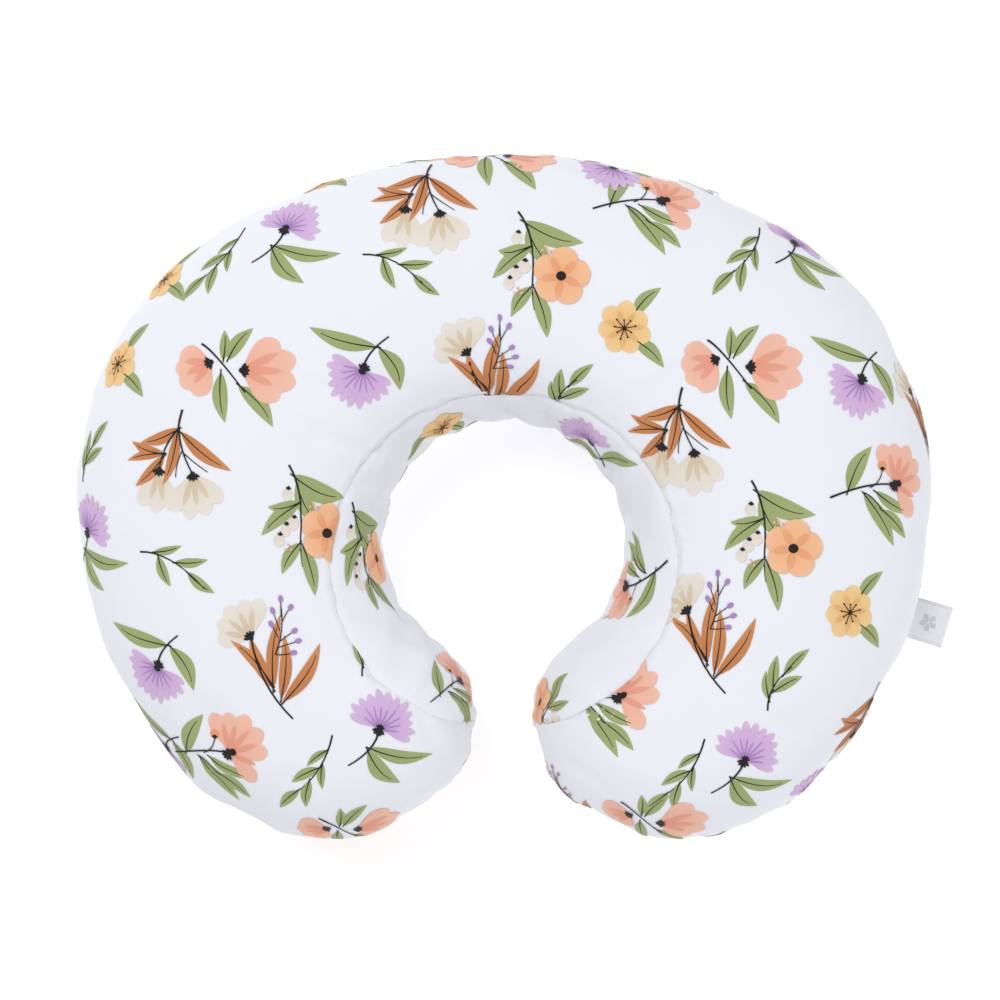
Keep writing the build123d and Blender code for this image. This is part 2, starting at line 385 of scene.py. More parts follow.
def swell(points, faces, pinned, inset):
    """The cloth after some frames of pressure, held where pinned is 1."""
    normal = normals_of(points, faces)
    start = points - normal * START_IN * inset[:, None]
    obj = make_object("swell", start, faces)
    group = obj.vertex_groups.new(name="held")
    for i, w in enumerate(pinned):
        if w > 0:
            group.add([i], float(w), "REPLACE")
    cloth = obj.modifiers.new("cloth", "CLOTH")
    settings = cloth.settings
    settings.quality = 6
    settings.mass = 0.3
    settings.use_pressure = True
    settings.uniform_pressure_force = 4.0
    settings.shrink_min = -0.03
    settings.tension_stiffness = settings.compression_stiffness = 15
    settings.bending_stiffness = 0.3
    settings.effector_weights.gravity = 0
    settings.vertex_group_mass = "held"
    settings.pin_stiffness = 1.0
    cloth.collision_settings.use_collision = False
    cloth.collision_settings.use_self_collision = False
    cloth.point_cache.frame_start, cloth.point_cache.frame_end = 1, FRAMES
    scene = bpy.context.scene
    for f in range(1, FRAMES + 1):
        scene.frame_set(f)
    graph = bpy.context.evaluated_depsgraph_get()
    mesh = obj.evaluated_get(graph).data
    co = np.zeros(len(points) * 3)
    mesh.vertices.foreach_get("co", co)
    scene.frame_set(1)
    bpy.data.objects.remove(obj)
    swollen = co.reshape(-1, 3) * 1000 - (0, HOLE_Y, 0)
    move = swollen - start
    length = np.linalg.norm(move, axis=1, keepdims=True)
    move *= CAP_OUT * np.tanh(length / CAP_OUT) / np.maximum(length, 1e-9)
    return start + move


def settle(points, top=151.0, give=7.0):
    """Keeps the height, and lays the underside on the floor."""
    p = points.copy()
    rise = p[:, 2].max() - MID_Z
    above = p[:, 2] > MID_Z
    p[above, 2] = MID_Z + (p[above, 2] - MID_Z) * min(1, (top - MID_Z) / rise)
    p[:, 2] = 0.5 * (p[:, 2] + np.sqrt(p[:, 2] ** 2 + give**2)) - 0.25 * give * np.exp(
        -np.maximum(p[:, 2], 0) / 12)
    return p


def smooth_mesh(points, faces, times, free):
    """Evens out the simulation's small ripples where free is 1."""
    edges = np.concatenate([faces[:, [0, 1]], faces[:, [1, 2]], faces[:, [2, 0]]])
    count = np.zeros(len(points))
    np.add.at(count, edges[:, 0], 1)
    for _ in range(times):
        total = np.zeros_like(points)
        np.add.at(total, edges[:, 0], points[edges[:, 1]])
        points = points + 0.5 * free[:, None] * (total / count[:, None] - points)
    return points


# --- creases, gathers and folds ----------------------------------------------------------

def waves(seed, low, high, count):
    """A sum of sines with random wavelengths from low to high mm, about 1 mm high."""
    rng = random.Random(seed)
    made = [(rng.uniform(0.5, 1), rng.uniform(low, high), rng.uniform(0, 2 * math.pi))
            for _ in range(count)]
    size = math.sqrt(sum(a * a for a, _, _ in made) / 2)
    return lambda s: sum(a * np.sin(2 * math.pi * s / w + p) for a, w, p in made) / size


GATHER = waves(3, 9, 23, 7)
GATHER_SIDE = {1: waves(11, 12, 34, 6), -1: waves(12, 12, 34, 6)}
SWAY = waves(5, 52, 120, 6)
BAND_GATHER = waves(8, 10, 26, 6)
BAND_SOFT = waves(9, 24, 60, 5)

# Soft folds on the upper side, in cm: from, to, width, height.
FOLDS = [
    ((-13.6, 11.6), (-7.6, 8.2), 0.55, 1.6), ((-12.6, 7.2), (-8.2, 5.6), 0.45, -1.3),
    ((-10.6, 13.0), (-5.2, 9.6), 0.5, 1.2), ((7.0, 9.4), (12.4, 12.8), 0.5, 1.1),
    ((-13.5, 1.5), (-8.6, 1.0), 0.4, -1.0), ((-12.0, -3.4), (-8.4, -2.6), 0.5, 1.2),
    ((-9.4, -7.0), (-5.6, -11.8), 0.5, 1.8), ((-6.4, -8.4), (-3.6, -12.4), 0.4, -1.5),
    ((8.6, -8.2), (5.2, -12.2), 0.5, 1.7), ((4.6, -11.4), (7.8, -14.6), 0.5, 1.4),
    ((3.4, -13.2), (6.2, -15.4), 0.4, -1.4), ((-2.6, -14.2), (-6.4, -16.2), 0.5, 1.3),
    ((-15.2, -17.6), (-13.0, -13.6), 0.6, -1.6), ((-18.4, -14.6), (-15.4, -12.0), 0.6, 1.4),
    ((16.6, -14.6), (13.6, -12.4), 0.6, 1.3), ((19.8, -12.6), (16.2, -10.4), 0.5, -1.1),
    ((9.6, -17.2), (9.0, -13.6), 0.5, 1.2), ((-11.0, -18.0), (-10.2, -14.2), 0.5, 1.1),
    ((2.0, 23.4), (0.6, 18.4), 0.7, -1.2), ((-5.0, 23.4), (-5.6, 19.2), 0.6, 1.0),
    ((12.2, 6.4), (8.8, 4.6), 0.5, -0.9), ((13.4, -1.0), (9.4, -0.8), 0.5, 0.9),
]


def fold_height(xy):
    """The folds' height at points seen from above."""
    total = np.zeros(len(xy))
    for a, b, width, height in FOLDS:
        a, b = np.array(a) * 10, np.array(b) * 10
        v = b - a
        t = ((xy - a) @ v) / (v @ v)
        off = (xy - a) @ np.array([-v[1], v[0]]) / np.hypot(*v)
        off = off + 2.5 * np.sin(t * 3.0 + a[0])
        ends = smooth_step(t, -0.15, 0.35) * (1 - smooth_step(t, 0.75, 1.15))
        total += height * ends * np.exp(-(off / (width * 10)) ** 2)
    return total


def relief(sheet, p, quarter):
    """How far the cloth stands off the swollen shape: seams, gathers and folds, in mm."""
    which, d, s, off = sheet.which, sheet.d, sheet.s, sheet.off
    side, along = s * quarter[0], (OUTLINE_END - s) * quarter[0]
    free = 1 - zip_weight(p)
    height = -0.9 * np.exp(-(off / 1.5) ** 2)
    if sheet.name == "band":
        height += BAND_GATHER(along + 40) * 0.5 * np.exp(-off / 10) * (1 - np.exp(-off / 3))
        slant = along + 0.35 * (DEEP - d) * quarter[1]
        return height + BAND_SOFT(slant) * 0.9 * (1 - np.exp(-off / 14))
    outer = np.where((which >= 0) & (which < 5), DEEP - d, 200.0)
    end = 1 - smooth_step(s, BAND_END - 25, BAND_END - 2)
    tip = smooth_step(s, 470, 700)
    height -= 1.4 * np.exp(-(outer / 3.2) ** 2) * free * end
    gather = GATHER(side) * 0.7 * np.exp(-(outer / 9) ** 2)
    gather += GATHER_SIDE[quarter[1]](side) * 0.75 * (1 - np.exp(-outer / 7))
    height += free * end * np.exp(-outer / 15) * (0.6 + 0.9 * tip) * gather
    height += free * end * (0.9 + 0.9 * tip) * SWAY(side) * np.exp(-(outer / 42) ** 2)
    height += 1.0 * np.exp(-((off - 3.0) / 1.5) ** 2)
    height += BAND_GATHER(along) * 0.55 * np.exp(-off / 12) * (1 - np.exp(-off / 2.5))
    if quarter[1] > 0:
        height += fold_height(p[:, :2]) * (1 - np.exp(-off / 5))
    return height


def finish_quarter(sheet, quarter):
    """The fine sheet's points on the swollen cloth, with seams, gathers and folds."""
    tri, w = fine_weights[sheet.name]
    ids = cloth_index[sheet.name, quarter][tri]
    corner, n = cloth_shape[ids], cloth_normal[ids]
    flat = (corner * w[..., None]).sum(1)
    lean = ((flat[:, None] - corner) * n).sum(-1, keepdims=True)
    phong = ((flat[:, None] - lean * n) * w[..., None]).sum(1)
    p = 0.3 * flat + 0.7 * phong
    m = (n * w[..., None]).sum(1)
    m /= np.linalg.norm(m, axis=1, keepdims=True)
    height = relief(sheet, p, quarter) * smooth_step(p[:, 2], 0.0, 14.0)
    p = p + m * height[:, None]
    p[:, 2] = np.maximum(p[:, 2], FLOOR_GAP)
    solid = mirror(sheet.solid, quarter)
    hold = smooth_step(zip_weight(solid)[:, None], 0.3, 1.0)
    return p * (1 - hold) + solid * hold


coarse = {name: Sheet(name, COARSE) for name in ("top", "band")}
fine = {name: Sheet(name, DENSE) for name in ("top", "band")}
fine_weights = {name: coarse[name].weights(fine[name].points) for name in fine}
cloth_points, cloth_faces, cloth_index = gather(
    parts_of("top") + parts_of("band"), lambda name, q: mirror(coarse[name].solid, q),
    lambda name: coarse[name].faces)
cloth_points, cloth_faces, index = weld_mesh(cloth_points, cloth_faces)
cloth_index = {key: index[part] for key, part in cloth_index.items()}
held = np.zeros(len(cloth_points))
inset = 1 - zip_weight(cloth_points)
for (name, quarter), index in cloth_index.items():
    sheet = coarse[name]
    rim = (sheet.which >= 0) & (sheet.which < HOLE_ARC) & (sheet.d > DEEP - 0.5)
    held[index[rim]] = 1.0
    if name == "band":        # the hole's waist keeps the CAD's width
        waist = 1 - smooth_step(DEEP - sheet.d, 6.0, 26.0)
        held[index] = np.maximum(held[index], waist)
        inset[index] = np.minimum(inset[index], 1 - waist)
held = np.maximum(held, smooth_step(zip_weight(cloth_points), 0.4, 0.9))
swollen = swell(cloth_points, cloth_faces, held, inset)
free = 1 - zip_weight(cloth_points)
swollen = smooth_mesh(swollen, cloth_faces, 2, free * (1 - held))
cloth_shape = settle(swollen)
cloth_normal = normals_of(cloth_points, cloth_faces)
if (cloth_normal[np.argmax(cloth_points[:, 2])][2]) < 0:
    cloth_faces = cloth_faces[:, ::-1]
cloth_normal = normals_of(cloth_shape, cloth_faces)

dense = {(name, q): finish_quarter(fine[name], q) for name in fine for q in QUARTERS}


def panel_normals():
    """Normals of the dense cloth, smooth within each panel."""
    made = {}
    for name, level in (("top", 1), ("top", -1), ("band", 0)):
        points, faces, slices = gather(parts_of(name, level), lambda *key: dense[key],
                                       lambda name: fine[name].faces)
        merged, index = weld(points, 2)
        n = normals_of(merged, index[faces])[index]
        made.update({key: n[part] for key, part in slices.items()})
    return made


dense_normal = panel_normals()


# --- looks -------------------------------------------------------------------------------

def rgb(text):
    """Linear colour of a hex colour."""
    c = [int(text[i:i + 2], 16) / 255 for i in (0, 2, 4)]
    return np.array([x / 12.92 if x <= 0.04045 else ((x + 0.055) / 1.055) ** 2.4 for x in c])


def put(made, **values):
    """Sets a node's own values and its inputs, an underscore standing for a space."""
    for key, value in values.items():
        if hasattr(made, key):
            setattr(made, key, value)
        else:
            made.inputs[key.replace("_", " ")].default_value = value


def node(tree, kind, links=(), **values):
    made = tree.nodes.new(kind)
    put(made, **values)
    for socket, source in dict(links).items():
        tree.links.new(source, made.inputs[socket])
    return made


def new_material(name):
    material = bpy.data.materials.new(name)
    material.use_nodes = True
    return material, material.node_tree, material.node_tree.nodes["Principled BSDF"]


def cotton(name, colour=None, scale=1.0):
    """Printed cotton: the print's colours on a fine plain weave."""
    m, t, shader = new_material(name)
    uv = node(t, "ShaderNodeUVMap", uv_map="cloth")
    split = node(t, "ShaderNodeSeparateXYZ", {"Vector": uv.outputs[0]})
    threads = []
    for axis in ("X", "Y"):
        turn = node(t, "ShaderNodeMath", {0: split.outputs[axis]}, operation="MULTIPLY")
        turn.inputs[1].default_value = 2 * math.pi / (0.55 * scale)
        threads.append(node(t, "ShaderNodeMath", {0: turn.outputs[0]}, operation="SINE"))
    weave = node(t, "ShaderNodeMath", {0: threads[0].outputs[0], 1: threads[1].outputs[0]},
                 operation="MULTIPLY")
    slub = node(t, "ShaderNodeTexNoise", {"Vector": uv.outputs[0]}, Scale=0.9, Detail=4.0)
    both = node(t, "ShaderNodeMath", {0: weave.outputs[0], 1: slub.outputs[0]},
                operation="MULTIPLY_ADD")
    both.inputs[2].default_value = 0.0
    if colour is None:
        base = node(t, "ShaderNodeVertexColor", layer_name="print").outputs[0]
    else:
        base = node(t, "ShaderNodeRGB").outputs[0]
        base.default_value = (*colour, 1)
    cloud = node(t, "ShaderNodeTexNoise", {"Vector": uv.outputs[0]}, Scale=0.02, Detail=3.0)
    shade = node(t, "ShaderNodeMapRange", {"Value": cloud.outputs[0]}, To_Min=0.965, To_Max=1.0)
    grain = node(t, "ShaderNodeMapRange", {"Value": both.outputs[0]}, From_Min=-1.0, To_Min=0.97,
                 To_Max=1.0)
    tone = node(t, "ShaderNodeMath", {0: shade.outputs[0], 1: grain.outputs[0]},
                operation="MULTIPLY")
    scaled = node(t, "ShaderNodeVectorMath", {0: base}, operation="SCALE")
    t.links.new(tone.outputs[0], scaled.inputs["Scale"])
    t.links.new(scaled.outputs[0], shader.inputs["Base Color"])
    bump = node(t, "ShaderNodeBump", {"Height": both.outputs[0]}, Strength=0.25, Distance=0.0002)
    t.links.new(bump.outputs[0], shader.inputs["Normal"])
    put(shader, Roughness=0.82, Specular_IOR_Level=0.25, Sheen_Weight=0.12, Sheen_Roughness=0.6)
    return m


def in_slot(flat, more=0.0):
    """Which flat points of the top sheet lie in the zipper's opening, or within more mm of it."""
    _, _, d, s = locate(flat)
    return (d > DEEP - SLOT_HALF - more) & (s < SLOT_S + 2 * more) & (flat[:, 1] > SLOT_Y)


def panel_object(name, sheet_name, level, material):
    """A panel of the cover, its quarters welded and the zipper's opening left out."""
    sheet, parts = fine[sheet_name], parts_of(sheet_name, level)
    tris = sheet.faces
    if sheet_name == "top":
        tris = tris[~in_slot(sheet.points[tris].mean(1))]
    points, faces, _ = gather(parts, lambda *key: dense[key], lambda _: tris)
    flat = np.concatenate([sheet.points * (q[0], 1) for _, q in parts])
    normals = np.concatenate([dense_normal[key] for key in parts])
    points, index = weld(points, 3)
    first = np.zeros(len(points), int)
    first[index] = np.arange(len(index))
    faces, points, first = compact(index[faces], points, first)
    obj = make_object(name, points, faces)
    dress(obj, flat[first], WHITE, normals[first], material)
    return obj


# --- print -------------------------------------------------------------------------------

WHITE = rgb("F4F5FB")
SAGE, SAGE_TIP = rgb("9CA96E"), rgb("A9B37A")
INK = rgb("1F1B1C")
RUST, RUST_TIP = rgb("C47B48"), rgb("D58F5A")
PEACH, PEACH_TIP, PEACH_DEEP = rgb("F3B49C"), rgb("F8C8B2"), rgb("EA9980")
APRICOT, APRICOT_TIP, APRICOT_DEEP = rgb("F5B586"), rgb("F9C79E"), rgb("EDA070")
YELLOW, YELLOW_TIP, YELLOW_DEEP = rgb("F0C07E"), rgb("F8D79E"), rgb("E5AE6C")
LILAC, LILAC_TIP, LILAC_DEEP = rgb("CFA6D8"), rgb("E3C6E8"), rgb("AF88C6")
CREAM, CREAM_TIP, CREAM_DEEP = rgb("E6D9C8"), rgb("F1EAE2"), rgb("D8C3A2")


ACROSS = np.array([-1.0, -0.5, 0.0, 0.5, 1.0])        # a strip's columns of points
# In mm off the cloth: the first layer, each next one, lines more, and more near the band's seam.
LIFT, LAYER, LINE, SEAM_LIFT = 0.25, 0.012, 0.10, 0.4


class Pen:
    """Draws one motif's shapes as grids: x, y in mm, turned clockwise by degrees."""

    def __init__(self, out, x, y, turn=0.0, size=1.0, home=None):
        self.out, self.place, self.size, self.home = out, np.array([x, y], float), size, home
        a = math.radians(turn)
        self.matrix = np.array([[math.cos(a), -math.sin(a)], [math.sin(a), math.cos(a)]])
        self.layer = 0

    def add(self, spine, half, near, far, across=ACROSS, more=0.0):
        """A strip: its middle line, its half width as vectors, and its colours at the ends."""
        grid = spine[:, None] + half[:, None] * across[None, :, None]
        t = np.linspace(0, 1, len(spine))[:, None]
        self.out.append((grid @ (self.matrix * self.size) + self.place,
                         near * (1 - t) + far * t, LIFT + LAYER * self.layer + more,
                         self.home))
        self.layer += 1

    def stroke(self, line, wide=0.9, thin=0.4, colour=INK):
        """A tapering stroke along a smooth curve through three points."""
        a, b, c = map(np.array, line)
        t = np.linspace(0, 1, 9)[:, None]
        p = a * (1 - t) ** 2 + 2 * t * (1 - t) * (2 * b - (a + c) / 2) + c * t**2
        d = np.gradient(p, axis=0)
        side = np.stack([-d[:, 1], d[:, 0]], -1) / np.linalg.norm(d, axis=1, keepdims=True)
        self.add(p, side * (wide * (1 - t) + thin * t) / 2, colour, colour, ACROSS[::2], LINE)

    def leaf(self, start, bearing, length, width, bend=0.1, colour=(SAGE, SAGE_TIP)):
        start, u = np.array(start, float), direction(bearing)
        v = np.array([u[1], -u[0]])
        t = np.linspace(0, 1, 12)[:, None]
        spine = start + u * length * t + v * bend * length * np.sin(math.pi * t)
        self.add(spine, v * width * 0.41 * np.sin(math.pi * t**0.88) ** 0.9, *colour)
        self.stroke([spine[0] - u * 0.06 * length, spine[5], spine[9]], 0.85, 0.35)

    def petal(self, start, bearing, length, width, colour, blunt=1.7, more=0.0):
        start, u = np.array(start, float), direction(bearing)
        v = np.array([u[1], -u[0]])
        t = np.concatenate([np.linspace(0, 0.8, 7), [0.88, 0.94, 0.98, 1.0]])[:, None]
        half = v * width / 2 * np.sin(math.pi * t**blunt) ** 0.6
        self.add(start + u * length * t, half, colour[0], colour[1], more=more)

    def petals(self, start, bearings, lengths, width, colour, blunt=1.7):
        """A flower's petals, darker where each one overlaps the next."""
        for b, length in zip(bearings, lengths):
            self.petal(start, b, length, width, colour, blunt)
        for b, c, length in zip(bearings, bearings[1:], lengths[1:]):
            gap = (c - b + 180) % 360 - 180
            self.petal(start, b + gap / 2, length * 0.72, width * 0.3,
                       (colour[2], colour[2] * 0.6 + colour[1] * 0.4), 1.2, LINE / 2)

    def dot(self, x, y, wide, tall=None, colour=INK, turn=0.0):
        u, v = direction(turn), direction(turn + 90)
        t = -np.cos(np.linspace(0, math.pi, 9))[:, None]
        self.add(np.array([x, y]) + u * t * (tall or wide),
                 v * wide * np.sqrt(np.maximum(1 - t * t, 0)), colour, colour, more=1.5 * LINE)

    def calyx(self, at, bearing, size=1.0):
        for k in range(-2, 3):
            self.petal(at, bearing + 30 * k, 4.6 * size, 1.9 * size, (INK, INK), 1.0, 1.5 * LINE)
        self.dot(*at, 1.5 * size)


LILACS = (LILAC, LILAC_TIP)
PEACHES = (PEACH, PEACH_TIP, PEACH_DEEP)
APRICOTS = (APRICOT, APRICOT_TIP, APRICOT_DEEP)
YELLOWS = (YELLOW, YELLOW_TIP, YELLOW_DEEP)
CREAMS = (CREAM, CREAM_TIP, CREAM_DEEP)
RUSTS = (RUST, RUST_TIP)


def daisy_head(p, fan):
    for k in (0, 11, 2, 9, 4, 7, 1, 10, 3, 8, 5, 6):
        bearing = fan + (k - 5.5) * 16
        p.petal((0, 0), bearing, 23 - abs(k - 5.5) * 0.6 + (k * 5 % 3), 5.0, LILACS, blunt=2.2)
    for k in range(9):
        u = direction(fan + (k - 4) * 19)
        p.stroke([u * 2, u * 8, u * (12 + k * 7 % 4)], 1.2, 0.3, LILAC_DEEP)
    p.calyx((0, 0), fan + 180)
    p.calyx((0, 0), fan, 0.7)


def daisy(p):
    p.leaf((-6, -11), 100, 42, 11, 0.10)
    p.leaf((-7, -12), 140, 32, 13, 0.12)
    p.stroke([(0, 0), (-6, -12), (-19, -22)], 1.3, 0.9)
    daisy_head(p, 25)


def daisy_down(p):
    p.leaf((8, 14), 286, 42, 12, -0.06)
    p.leaf((9, 13), 152, 30, 13, -0.12)
    p.stroke([(0, 0), (4, 10), (15, 20)], 1.3, 0.9)
    daisy_head(p, 207)


def pair(p):
    p.leaf((-1, 5), 2, 18, 8, 0.05)
    p.leaf((2, 5), 38, 24, 10, -0.08)
    p.leaf((-2, -2), 176, 30, 11, 0.06)
    p.leaf((8, -10), 140, 32, 12, -0.08)
    p.petals((10, -1), (52, 78, 104, 128), (28, 33, 33, 28), 15.5, PEACHES)
    p.petals((-8, 4), (285, 258, 232, 206), (20, 22, 23, 22), 14, PEACHES)
    p.stroke([(-14, 15), (-4, 6), (12, -14)], 1.3, 0.8)
    p.calyx((10, -1), 90, 1.1)
    p.calyx((-8, 4), 245)


def star(p):
    p.leaf((5, 7), 45, 24, 10, -0.08)
    p.leaf((4, -6), 132, 26, 11, -0.08)
    p.petals((0, 0), [8 + k * 51.4 for k in range(8)], [16.5, 15.5] * 4, 11.5, YELLOWS)
    for k in range(9):
        u = direction(k * 40)
        p.stroke([u * 0.5, u * 3, u * (4.5 + k % 3)], 0.7, 0.5)
        p.dot(*(u * (4.8 + k % 3)), 0.6)
    p.dot(0, 0, 1.3)


def bells(p):
    p.petals((-12, -26), (160, 186, 212), (25, 25, 24), 11, CREAMS)
    p.petals((8, -28), (208, 184, 160, 134), (25, 27, 26, 24), 11, CREAMS)
    for start, b, length, width, bend in (
            ((0, -1), 252, 26, 9, -0.08), ((-9, -16), 290, 23, 8, -0.08),
            ((-9, -16), 262, 25, 7, 0.05), ((-9, -17), 226, 26, 9, -0.05),
            ((-1, -2), 195, 34, 8, -0.05), ((1, -3), 128, 38, 10, 0.06)):
        p.leaf(start, b, length, width, bend, RUSTS)
    p.stroke([(2, 10), (0, 2), (0, -2)], 1.3, 1.0)
    p.stroke([(0, -1), (-8, -12), (-12, -25)], 1.1, 0.8)
    p.stroke([(0, -1), (2, -14), (8, -28)], 1.1, 0.8)
    p.stroke([(3, -16), (10, -22), (17, -27)], 0.7, 0.5)
    p.stroke([(2, -14), (-1, -22), (-2, -30)], 0.6, 0.5)
    p.calyx((-12, -25), 186)
    p.calyx((8, -28), 172)


def sprig(p):
    p.stroke([(0, 0), (-8, -20), (-22, -36)], 1.1, 0.5)
    for start, b, length, width in (
            ((-3, -9), 232, 16, 6), ((-6, -17), 182, 17, 6), ((-8, -20), 240, 20, 8),
            ((-14, -28), 190, 20, 8), ((-21, -35), 222, 20, 8)):
        p.leaf(start, b, length, width, 0.06)


def leafy(p):
    p.stroke([(-23, 40), (-16, 22), (-15, -2)], 1.3, 0.9)
    p.stroke([(-15, -2), (-15, -12), (-14, -20)], 0.9, 0.5)
    for start, b, length, width, bend in (
            ((-20, 34), 112, 38, 15, 0.10), ((-18, 30), 147, 30, 12, 0.10),
            ((-16, 18), 262, 20, 9, -0.10), ((-16, 17), 232, 30, 11, 0.06),
            ((-15, -6), 214, 22, 10, 0.08), ((-14, -8), 166, 30, 11, -0.06)):
        p.leaf(start, b, length, width, bend)
    for x, y in ((-23, 25), (-24, 4), (-19, 8), (-28, -2)):
        p.petal((x, y + 2), 188, 8.5, 6.5, (CREAM, CREAM_TIP), blunt=1.2)
        p.calyx((x, y + 2), 188, 0.45)
    for k in range(5):
        p.dot(*(np.array([-7, 14]) + direction(k * 75) * 2.6), 0.9, colour=APRICOT)
    for k in range(3):
        p.dot(*(np.array([-23, -9]) + direction(k * 120) * 1.9), 0.8, colour=PEACH)
    p.petals((2, 0), [10 + k * 72 for k in range(6)], [17.5] * 6, 16, APRICOTS, 1.7)
    p.dot(2, 0, 3.0, 2.8)


def cosmos(p):
    p.leaf((-32, -5), 30, 32, 13, -0.08)
    p.leaf((-14, -4), 116, 30, 9, 0.06)
    p.leaf((-22, -6), 145, 38, 12, -0.05)
    p.leaf((-10, -15), 132, 26, 10, -0.05)
    p.stroke([(-22, -5), (-15, -9), (-9, -16)], 0.9, 0.6)
    p.petals((0, 0), (142, 86, 56, 28, 2, 338), (24, 24, 26, 27, 25, 26), 11.5, PEACHES, 2.0)
    p.stroke([(0, 0), (-20, -1), (-43, -8)], 0.9, 1.2)
    p.stroke([(-18, -2), (-12, 2), (-9, 9)], 0.7, 0.6)
    p.dot(-9, 11, 3.0, colour=APRICOT_DEEP)
    p.calyx((-9, 8.6), 0, 0.5)
    for k in range(7):
        p.calyx(direction(100 + k * 26) * 1.6 + (1, 1), 35, 0.55)
    p.calyx((0, 0), 225)


def spray(p):
    p.petals((0, 0), (268, 296, 322, 350, 14), (20, 22, 24, 23, 24), 10.5, CREAMS, 2.0)
    p.calyx((0, 0), 320)
    p.stroke([(0, 0), (8, -26), (24, -48)], 1.2, 1.0)
    for start, b, length, width, bend in (
            ((12, -28), 318, 36, 8, 0.06), ((13, -30), 336, 34, 9, -0.05),
            ((13, -30), 6, 44, 9, -0.06), ((17, -36), 4, 38, 9, 0.05),
            ((18, -38), 34, 42, 10, 0.07)):
        p.leaf(start, b, length, width, bend, RUSTS)
    p.stroke([(14, -10), (18, 4), (18, 20)], 0.8, 0.5)
    for a, b, x, y in (((16, -3), (20, 0), 26, 4), ((15, -6), (22, -4), 28, -2),
                       ((17, 4), (15, 10), 13, 16), ((18, 8), (21, 14), 24, 18),
                       ((18, 12), (18, 18), 18, 23), ((14, -10), (20, -10), 25, -9),
                       ((16, 0), (14, 4), 12, 8)):
        p.stroke([a, b, (x, y)], 0.6, 0.5)
        p.dot(x, y, 1.5, 2.2, LILAC_DEEP, math.degrees(math.atan2(x - b[0], y - b[1])))


def upright(p):
    p.stroke([(0, 0), (3, 14), (14, 26)], 1.1, 0.6)
    for start, b, length, width in (((1, 6), 352, 18, 7), ((3, 13), 6, 20, 8),
                                    ((9, 21), 44, 22, 8), ((3, 11), 62, 20, 8)):
        p.leaf(start, b, length, width, -0.05)


def sprig_side(p):
    p.stroke([(0, 0), (20, -5), (40, -22)], 1.1, 0.5)
    for start, b, length, width in (((9, 0), 78, 18, 6), ((12, -2), 158, 20, 8),
                                    ((22, -6), 86, 20, 7), ((30, -12), 128, 20, 8)):
        p.leaf(start, b, length, width, 0.06)


# Where each motif sits on the upper side: cm to the right of the hole's centre and behind it.
UPPER = [
    (daisy, (-13.1, 18.7), (-25.2, 0.6), (17.6, 18.1), (-7.5, -11.2), (14.4, -13.0)),
    (daisy_down, (-8.3, 10.1), (21.3, 9.6), (-20.8, -7.5), (6.6, 22.6)),
    (bells, (-4.6, 22.0), (-19.2, 6.8), (10.3, 8.1), (22.6, -9.4)),
    (sprig_side, (-8.4, 17.0), (-21.7, -0.6)),
    (leafy, (3.2, 15.7), (-10.5, 0.5), (16.9, -0.4)),
    (star, (-23.3, 10.7), (7.1, 12.6), (20.6, -4.2), (-20.6, 15.9)),
    (pair, (-16.5, 10.2), (13.4, 10.4), (-0.9, 23.4), (-10.0, -17.6), (8.5, -17.0)),
    (cosmos, (9.5, 20.4), (23.4, 3.4), (-16.5, -12.6), (6.9, -9.3)),
    (spray, (-2.1, 11.0), (-15.0, -5.7), (10.8, -4.2), (24.8, 9.0)),
    (upright, (3.2, 7.7), (-8.4, -8.0), (15.7, -10.0), (-25.5, 3.6)),
    (sprig, (-15.6, 18.9), (15.4, 18.9), (-10.3, -11.5), (12.0, -11.7)),
]
FILLERS = [daisy, sprig, pair, sprig_side, star, bells, upright, cosmos, spray, daisy_down, leafy]


def flat_of(x, y):
    """The flat point of a point seen from above."""
    _, _, d, s = (v[0] for v in locate([(abs(x), y)]))
    if d <= 0:
        return x, y
    deep = ROUND * math.asin(min(d, ROUND - 0.6) / ROUND)
    q = from_s([s], [deep])[3][0]
    return math.copysign(q[0], x), q[1]


def fill(out, placed, home, pitch=61.0, gap=47.0, first=0):
    """More motifs where the cloth is still bare, on one half's flat plane."""
    loop = fine["top"].loop
    spots = hexagons(-120, 290, -310, 300, pitch)
    spots = spots[inside(spots, loop)]
    k = first
    for x, y in spots:
        if all(math.hypot(home * x - a, y - b) > gap for a, b in placed):
            FILLERS[k % len(FILLERS)](Pen(out, home * x, y, 14 * math.sin(k * 2.3), 1.0, home))
            placed.append((home * x, y))
            k += 3


def print_upper():
    out, placed = [], {1: [], -1: []}
    for motif, *spots in UPPER:
        for x, y in spots:
            half = 1 if x > 0 else -1
            fx, fy = flat_of(x * 10, y * 10)
            home = None if abs(x) < 7 and y > 5 else half
            motif(Pen(out, fx, fy, 0, 1.0, home))
            placed[half].append((fx, fy))
            if home is None:
                placed[-half].append((fx, fy))
    for half in (1, -1):
        fill(out, placed[half], half, 40.0, 50.0, 4 + half)
    return out


def print_lower():
    out, placed = [], {1: [], -1: []}
    middle = [(-62, 190), (0, 150), (58, 196), (6, 240)]
    for k, (x, y) in enumerate(middle):
        FILLERS[(k * 4 + 1) % len(FILLERS)](Pen(out, x, y, 0, 1.0, None))
        placed[1].append((x, y))
        placed[-1].append((x, y))
    for half in (1, -1):
        fill(out, placed[half], half, 60.0, 46.0, 5 + half)
    return out


def print_band():
    """The band's motifs, turned to run with it: along it from the crown's middle, and up it."""
    out = []
    small = [sprig, daisy_down, upright, cosmos, sprig_side, leafy, daisy, star]
    for k in range(-5, 6):
        x, y = k * 46 + 8, 24 * (1 if k % 2 else -1) + 6
        small[k % len(small)](Pen(out, x, y, 75 + 20 * (k % 3), 0.92, None))
    return out


